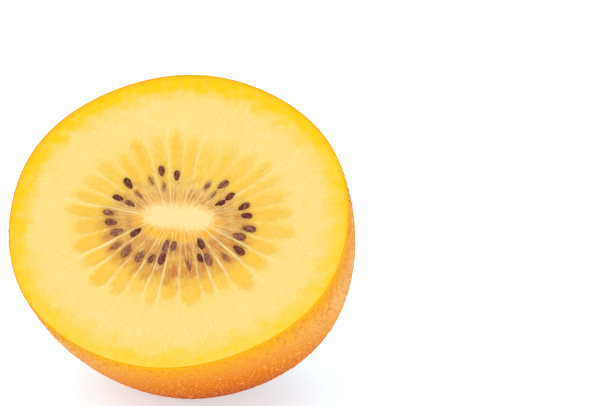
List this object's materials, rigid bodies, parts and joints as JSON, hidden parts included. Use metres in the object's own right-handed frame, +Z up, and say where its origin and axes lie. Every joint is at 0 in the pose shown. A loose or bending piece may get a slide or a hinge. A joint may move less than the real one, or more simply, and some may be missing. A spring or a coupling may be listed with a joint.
{
  "type": "halved golden kiwi fruit",
  "caption": "Golden kiwi fruit cut in half across the middle, leaning back on its round side with the seeded cut face up.",
  "frame": {"origin": "middle of the small flat spot on the round side that the half rests on", "axes": "+Z up; +X along the cut face's long way; the cut face looks towards -Y and up, 43.5 degrees above level"},
  "size_m": [0.0549, 0.0506, 0.0504],
  "materials": {
    "flesh": "moist, translucent cut fruit flesh, pale gold with deeper lobes",
    "skin": "thin satin skin, orange-brown with fine raised tan dots",
    "seed": "wet, dark purple-brown seed coat, mottled",
    "stem": "dry, fibrous brown stalk"
  },
  "bodies": {
    "root": {"kiwi_half": "flesh", "stem_button": "stem"}
  },
  "joints": []
}
